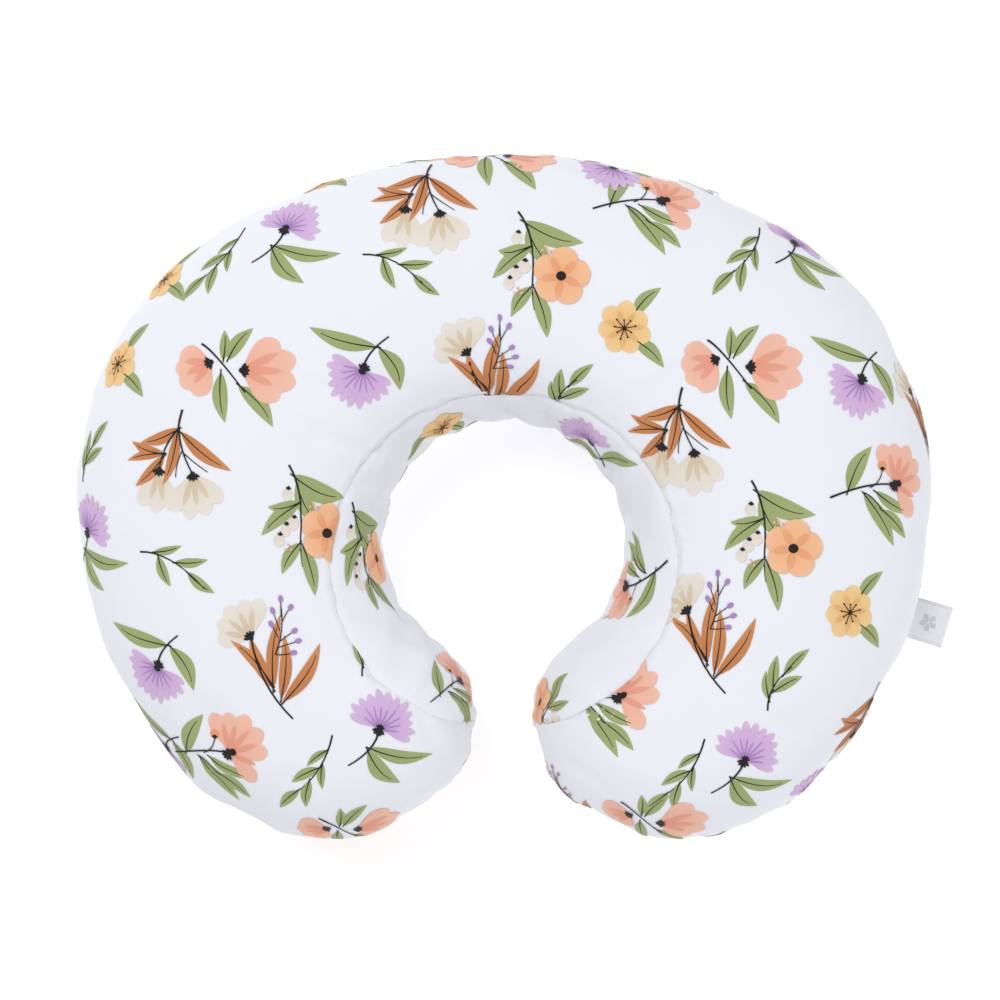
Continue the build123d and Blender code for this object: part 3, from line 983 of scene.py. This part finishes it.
def on_cloth(sheet_name, quarter, near, w):
    """Points and normals on the cloth, from triangles' corners and the weights in them."""
    return ((values[sheet_name, quarter][near] * w[..., None]).sum(1)
            for values in (dense, dense_normal))


def unit(v):
    return v / np.linalg.norm(v, axis=1, keepdims=True)


def print_object(name, sheet_name, level, shapes, material):
    """The motifs as thin layers of ink that follow the cloth."""
    sheet = fine[sheet_name]
    sizes = [grid.shape[0] * grid.shape[1] for grid, *_ in shapes]
    whole = np.concatenate([grid.reshape(-1, 2) for grid, *_ in shapes])
    lift = np.repeat([height for _, _, height, _ in shapes], sizes)
    home = np.repeat([half or 0 for *_, half in shapes], sizes)
    side = np.where(home == 0, np.where(whole[:, 0] >= 0, 1, -1), home)
    if sheet_name == "top":
        level = np.full(len(whole), level)
        plane = np.stack([whole[:, 0] * side, whole[:, 1]], -1)
    else:
        level = np.where(whole[:, 1] >= 0, 1, -1)
        plane = np.stack([OUTLINE_END - np.abs(whole[:, 0]), np.abs(whole[:, 1])], -1)
    near, w = sheet.weights(plane)
    p, n = np.zeros((len(whole), 3)), np.zeros((len(whole), 3))
    for q in QUARTERS:
        on = (side == q[0]) & (level == q[1])
        p[on], n[on] = on_cloth(sheet_name, q, near[on], w[on])
    n = unit(n)
    lift = lift + SEAM_LIFT * np.exp(-((sheet.off[near] * w).sum(1) / 5) ** 2)
    p = p + n * lift[:, None]
    faces, colours, k = [], [], 0
    for grid, colour, *_ in shapes:
        rows, columns = grid.shape[:2]
        for a in range(rows - 1):
            for b in range(columns - 1):
                i = k + a * columns + b
                faces.append((i, i + 1, i + columns + 1, i + columns))
                colours.append((colour[a], colour[a], colour[a + 1], colour[a + 1]))
        k += rows * columns
    faces, colours = np.array(faces), np.array(colours)
    corner = p[faces]
    cross = np.cross(corner[:, 2] - corner[:, 0], corner[:, 3] - corner[:, 1])
    keep = np.linalg.norm(cross, axis=1) > 0.02
    if sheet_name == "top":
        keep &= ~in_slot(plane[faces].mean(1), 1)
    faces, colours, cross = faces[keep], colours[keep], cross[keep]
    turned = (cross * n[faces[:, 0]]).sum(1) < 0
    faces[turned] = faces[turned][:, ::-1]
    colours[turned] = colours[turned][:, ::-1]
    faces, p, whole, n = compact(faces, p, whole, n)
    obj = make_object(name, p, faces)
    dress(obj, whole, colours.reshape(-1, 3), n, material)
    return obj


def dress(obj, flat, colours, normals, material):
    """The cloth's flat coordinates, the colours, smooth normals and the material."""
    mesh = obj.data
    corners = np.zeros(len(mesh.loops), int)
    mesh.loops.foreach_get("vertex_index", corners)
    mesh.uv_layers.new(name="cloth").data.foreach_set("uv", flat[corners].ravel())
    layer = mesh.color_attributes.new(name="print", type="BYTE_COLOR", domain="CORNER")
    rgba = np.ones((len(corners), 4))
    rgba[:, :3] = colours
    layer.data.foreach_set("color", rgba.ravel())
    mesh.normals_split_custom_set_from_vertices(normals.tolist())
    mesh.materials.append(material)


SHAPES = {"upper": print_upper(), "lower": print_lower(), "band": print_band()}
top_cloth = cotton("printed_cotton_cloth")
for name, sheet_name, level, key, cad_node in (
        ("slipcover_top", "top", 1, "upper", "cover_top_panel"),
        ("slipcover_bottom", "top", -1, "lower", "cover_bottom_panel"),
        ("slipcover_band", "band", 0, "band", "cover_inner_band")):
    obj = panel_object(name, sheet_name, level, top_cloth)
    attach(obj, "pillow")
    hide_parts(cad_node)
    ink = print_object("print_" + key, sheet_name, level, SHAPES[key], top_cloth)
    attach(ink, "pillow")

# --- inside ------------------------------------------------------------------------------

def inner_piece(name, parts, depth, lumps, material, slot_name, *nodes):
    """A copy of the stuffed shape, depth mm inside it, for some of its panels."""
    def shrunk(*key):
        p = cloth_shape[cloth_index[key]]
        x, y, z = np.split(p, 3, 1)
        lump = lumps * np.sin(x / 9) * np.sin(y / 11) * np.sin(z / 10)
        return p - cloth_normal[cloth_index[key]] * (depth + lump)

    points, faces, _ = gather(parts, shrunk, lambda name: coarse[name].faces)
    points, faces, _ = weld_mesh(points, faces)
    obj = make_object(name, points, faces)
    layer = obj.data.uv_layers.new(name="cloth")
    corners = np.zeros(len(obj.data.loops), int)
    obj.data.loops.foreach_get("vertex_index", corners)
    layer.data.foreach_set("uv", points[corners][:, :2].ravel())
    obj.data.materials.append(material)
    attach(obj, "pillow")
    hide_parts(*nodes)


lining = cotton("casing_cloth_white", rgb("EDEDEA"), 1.6)
inner_parts = {"casing_top": parts_of("top", 1), "casing_bottom": parts_of("top", -1),
               "casing_band": parts_of("band")}
for name, cad_node in (("casing_top", "casing_top_panel"),
                       ("casing_bottom", "casing_bottom_panel"),
                       ("casing_band", "casing_inner_band")):
    inner_piece(name, inner_parts[name], 6.5, 0.4, lining, "casing_cloth", cad_node)
inner_piece("filling", sum(inner_parts.values(), []), 8.2, 0.8,
            cotton("fibre", rgb("F2F2F0"), 3.0), "polyester_fibre", "fibre_fill")

# --- thread, label and hardware ----------------------------------------------------------

def finish_of(name, colour, roughness, metallic=0.0, pitch=0.0, depth=0.0001, sheen=0.0):
    """A procedural finish: mottled colour, uneven gloss and, with a pitch in mm, fine ribs."""
    m, t, shader = new_material(name)
    place = node(t, "ShaderNodeTexCoord").outputs["Object"]
    mottle = node(t, "ShaderNodeTexNoise", {"Vector": place}, Scale=260.0, Detail=5.0)
    ramp = node(t, "ShaderNodeValToRGB", {"Fac": mottle.outputs[0]})
    ramp.color_ramp.elements[0].color = (*(colour * 0.90), 1)
    ramp.color_ramp.elements[1].color = (*np.minimum(colour * 1.04, 1), 1)
    t.links.new(ramp.outputs[0], shader.inputs["Base Color"])
    gloss = node(t, "ShaderNodeMapRange", {"Value": mottle.outputs[0]}, To_Min=roughness - 0.06,
                 To_Max=roughness + 0.08)
    t.links.new(gloss.outputs[0], shader.inputs["Roughness"])
    height = mottle.outputs[0]
    if pitch:
        ribs = node(t, "ShaderNodeTexWave", {"Vector": place}, Scale=1000 / pitch / 3.2,
                    Distortion=0.4)
        height = ribs.outputs[1]
    bump = node(t, "ShaderNodeBump", {"Height": height}, Strength=0.5, Distance=depth)
    t.links.new(bump.outputs[0], shader.inputs["Normal"])
    put(shader, Metallic=metallic, Sheen_Weight=sheen)
    return m


STITCH_R, STITCH_LIFT = 0.28, 0.15
STITCH_RINGS = ((0.10, 0.35), (0.24, 1.0), (0.5, 1.1), (0.76, 1.0), (0.90, 0.35))
SIDES = 6


def stitches(name, rows, *nodes):
    """Rows of short stitches: each row is points and normals, one stitch per pair of points."""
    verts, faces = [], []
    for points, normals in rows:
        for a, b, up in zip(points[:-1], points[1:], normals[:-1]):
            along = b - a
            side = np.cross(along, up)
            side /= max(np.linalg.norm(side), 1e-9)
            k = len(verts)
            for t, r in STITCH_RINGS:
                middle = a + along * t + up * STITCH_R * 0.5 * math.sin(math.pi * t)
                for turn in range(SIDES):
                    w = turn * math.pi / 3
                    verts.append(middle + STITCH_R * r * (math.cos(w) * side + math.sin(w) * up))
            for ring in range(k, len(verts) - SIDES, SIDES):
                for turn in range(SIDES):
                    i, j = ring + turn, ring + (turn + 1) % SIDES
                    faces.append((i, j, j + SIDES, i + SIDES))
            faces.append(tuple(range(k + SIDES - 1, k - 1, -1)))
            faces.append(tuple(range(len(verts) - SIDES, len(verts))))
    obj = make_object(name, verts, faces)
    obj.data.materials.append(thread)
    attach(obj, "pillow")
    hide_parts(*nodes)


thread = finish_of("cotton_thread", rgb("F1F1F3"), 0.7, pitch=0.35, sheen=0.2)
rim_s = np.arange(SLOT_S + 8, BAND_END - 2, 3.4)
near, w = fine["top"].weights(from_s(rim_s, np.full(len(rim_s), DEEP))[3])
rows = []
for q in QUARTERS[:2]:
    p, _ = on_cloth("top", q, near, w)
    out = dense_normal["top", q][near[:, 0]] * (1, 1, 0)
    rows.append((p + out * STITCH_LIFT, out))
stitches("outer_seam_thread", rows, "outer_seam_stitching")
near, w = fine["top"].weights(from_s(*seam_points(3.0).T)[3])
for level, word in ((1, "upper"), (-1, "lower")):
    rows = []
    for key in parts_of("top", level):
        p, n = on_cloth(*key, near, w)
        rows.append((p + unit(n) * STITCH_LIFT, unit(n)))
    stitches("band_seam_thread_" + word, rows, "band_seam_stitching_" + word)

LABEL_OUT = direction(107.0)                   # the outline's normal at the label
LABEL_ALONG = np.array([-LABEL_OUT[1], LABEL_OUT[0]])
LABEL_ROOT = np.array([252.436, -47.0225])     # on the outer seam
LABEL_HALF, LABEL_LONG = 13.0, 26.4
LABEL_TUCK = -5.0                              # its ends, inside the seam
FACE, BACK = 0.42, 0.18                        # the ribbon's outer and inner faces off its middle


def label_point(out, along, z):
    """A point out from the seam and along it, z above the label's middle, gently waved."""
    xy = LABEL_ROOT + LABEL_OUT * out + LABEL_ALONG * along
    wave = 0.5 * math.sin(out / 7.0 + along / 9.0) * min(1, max(0, out) / 12)
    return (*xy, MID_Z + z + wave)


satin = finish_of("satin", rgb("F4F4F6"), 0.34, pitch=0.5, depth=0.00005, sheen=0.35)
verts, faces = [], []
fold, tuck = LABEL_LONG - 0.5, LABEL_TUCK
path = [(x, FACE) for x in np.linspace(tuck, fold, 14)]
path += [(LABEL_LONG - 0.15, 0.3), (LABEL_LONG, 0), (LABEL_LONG - 0.15, -0.3)]
path += [(x, -FACE) for x in np.linspace(fold, tuck, 14)]
path += [(x, -BACK) for x in np.linspace(tuck, LABEL_LONG - 0.7, 14)]
path += [(x, BACK) for x in np.linspace(LABEL_LONG - 0.7, tuck, 14)]
columns = np.linspace(-LABEL_HALF, LABEL_HALF, 13)
for out, z in path:
    verts += [label_point(out, a, z) for a in columns]
rows, n = len(path), len(columns)
for r in range(rows):
    for c in range(n - 1):
        a, b = r * n + c, ((r + 1) % rows) * n + c
        faces.append((a, a + 1, b + 1, b))
for c in (0, n - 1):            # the ribbon's two cut edges
    for r in range(rows // 2 - 1):
        a, b = r * n + c, (r + 1) * n + c
        d, e = (rows - 2 - r) * n + c, (rows - 1 - r) * n + c
        faces.append((a, b, d, e) if c == 0 else (e, d, b, a))
label = make_object("ribbon_label", verts, faces)
label.data.materials.append(satin)
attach(label, "label")
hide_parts("side_label")

mark_shapes, mark_grey = [], rgb("D3D6DA")
for turn in range(0, 360, 72):
    Pen(mark_shapes, 13, 0, 107, 0.30).petal((0, 3), turn, 19, 12, (mark_grey, mark_grey))
verts, faces = [], []
for grid, *_ in mark_shapes:
    k = len(verts)
    verts += [label_point(x, y, 0.47) for x, y in grid.reshape(-1, 2)]
    m = grid.shape[1]
    faces += [(k + a * m + b, k + a * m + b + 1, k + a * m + m + b + 1, k + a * m + m + b)
              for a in range(1, grid.shape[0] - 2) for b in range(m - 1)]
DASHES, DASH_HALF = 11, 0.16    # on each side of the label's sewn border
border = np.array([(2.0, -11.2), (24.2, -11.2), (24.2, 11.2), (2.0, 11.2)])
for start, end in zip(border, np.roll(border, -1, 0)):
    for dash in range(DASHES):
        a = start + (end - start) * ((dash + 0.15) / DASHES)
        b = start + (end - start) * ((dash + 0.85) / DASHES)
        side = np.array([-(b - a)[1], (b - a)[0]]) / np.linalg.norm(b - a) * DASH_HALF
        k = len(verts)
        verts += [label_point(*v, 0.48) for v in (a - side, b - side, b + side, a + side)]
        faces.append((k, k + 1, k + 2, k + 3))
mark = make_object("label_mark", verts, faces)
mark.data.materials.append(finish_of("grey_thread", mark_grey, 0.6))
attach(mark, "label")

FINISHES = {
    "zipper_tape": finish_of("woven_tape", rgb("F0F0F2"), 0.75, pitch=0.8, depth=0.0002, sheen=0.2),
    "zipper_coil": finish_of("nylon_coil", rgb("E9E9EC"), 0.35, pitch=1.3, depth=0.0006),
    "zipper_top_stops": finish_of("stop_metal", rgb("D0D0D2"), 0.3, 1.0),
    "zipper_bottom_stop": finish_of("stop_metal_b", rgb("D0D0D2"), 0.3, 1.0),
    "zipper_topstitch": thread,
    "zipper_bar_tacks": thread,
    "zipper_slider": finish_of("slider_enamel", rgb("E6E6EA"), 0.28, 0.3),
    "zipper_pull_tab": finish_of("pull_enamel", rgb("E6E6EA"), 0.28, 0.3),
    "care_label": finish_of("care_satin", rgb("EFEFEF"), 0.5, pitch=0.5),
    "contents_label": finish_of("contents_satin", rgb("EFEFEF"), 0.5, pitch=0.5),
    "casing_closing_stitches": thread,
}
for part_name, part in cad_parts.items():
    for start, finish in FINISHES.items():
        if part_name.startswith(start):
            part.data.materials.clear()
            part.data.materials.append(finish)

# --- floor, light and camera -------------------------------------------------------------

FAR = 4000
floor = make_object("floor", [(-FAR, -FAR, 0), (FAR, -FAR, 0), (FAR, FAR, 0), (-FAR, FAR, 0)],
                    [(0, 1, 2, 3)], smooth=False)
floor_white, _, shader = new_material("floor_white")
put(shader, Base_Color=(0.9, 0.9, 0.9, 1), Roughness=0.9, Emission_Color=(1, 1, 1, 1),
    Emission_Strength=0.35)
floor.data.materials.append(floor_white)

scene = bpy.context.scene
world = bpy.data.worlds.new("studio")
world.use_nodes = True
world.node_tree.nodes["Background"].inputs[0].default_value = (0.96, 0.97, 1.0, 1)
world.node_tree.nodes["Background"].inputs[1].default_value = 0.55
scene.world = world
scene.view_settings.view_transform = "Standard"


def softbox(name, place, size, power, target=(0.0, -0.13, 0.07)):
    data = bpy.data.lights.new(name, "AREA")
    data.shape, data.size, data.energy = "DISK", size, power
    obj = bpy.data.objects.new(name, data)
    obj.location = place
    aim = Vector(target) - Vector(place)
    obj.rotation_mode = "QUATERNION"
    obj.rotation_quaternion = aim.to_track_quat("-Z", "Y")
    scene.collection.objects.link(obj)


softbox("key", (-0.9, 0.9, 2.2), 1.6, 26)
softbox("fill", (1.4, -1.2, 1.8), 1.8, 14)

CAMERA_HEIGHT, VIEW_HALF = 2.2, 0.31325       # above the seam, and half the view's width there
cam = bpy.data.cameras.new("camera")
cam.sensor_width = 36
cam.lens = cam.sensor_width / 2 / (VIEW_HALF / CAMERA_HEIGHT)
camera = bpy.data.objects.new("camera", cam)
camera.location = (-0.0025, -0.1327, CAMERA_HEIGHT + 0.075)
scene.collection.objects.link(camera)
scene.camera = camera
